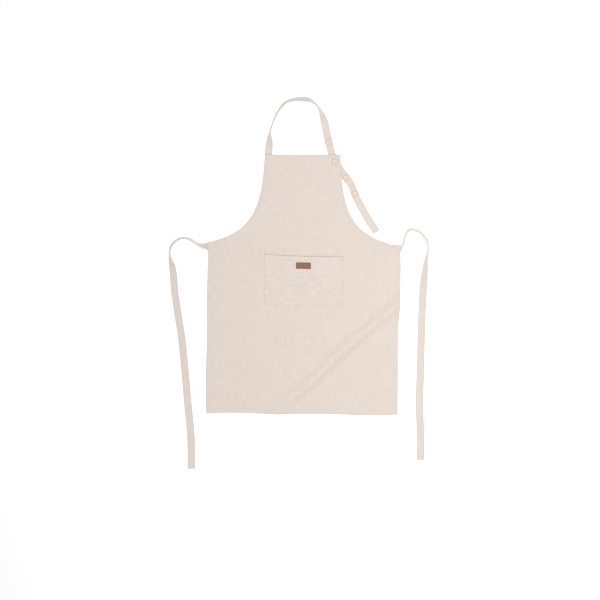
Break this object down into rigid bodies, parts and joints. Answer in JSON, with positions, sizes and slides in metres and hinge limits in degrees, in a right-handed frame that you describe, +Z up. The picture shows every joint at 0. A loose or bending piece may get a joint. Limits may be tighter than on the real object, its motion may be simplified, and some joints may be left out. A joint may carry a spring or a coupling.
{
  "type": "kitchen apron",
  "caption": "Bib apron of undyed linen lying flat, with a patch pocket, a leather tab, a buttoned neck strap and loose waist ties.",
  "frame": {"origin": "on the surface the apron lies on, under the panel at the height of the waist", "axes": "+Z up from the surface, +Y from the skirt's hem to the bib, +X to the side where the neck strap buttons"},
  "size_m": [0.8803, 1.2567, 0.0254],
  "materials": {
    "linen": "undyed linen, plain weave with slubs",
    "leather": "brown smooth leather, cut edges",
    "wood": "pale turned wood, waxed"
  },
  "bodies": {
    "root": {"apron_panel": "linen", "pocket": "linen", "neck_strap": "linen", "waist_tie_left": "linen", "waist_tie_right": "linen", "leather_label": "leather", "button_upper": "wood", "button_fastened": "wood", "button_third": "wood", "button_end": "wood"}
  },
  "joints": []
}
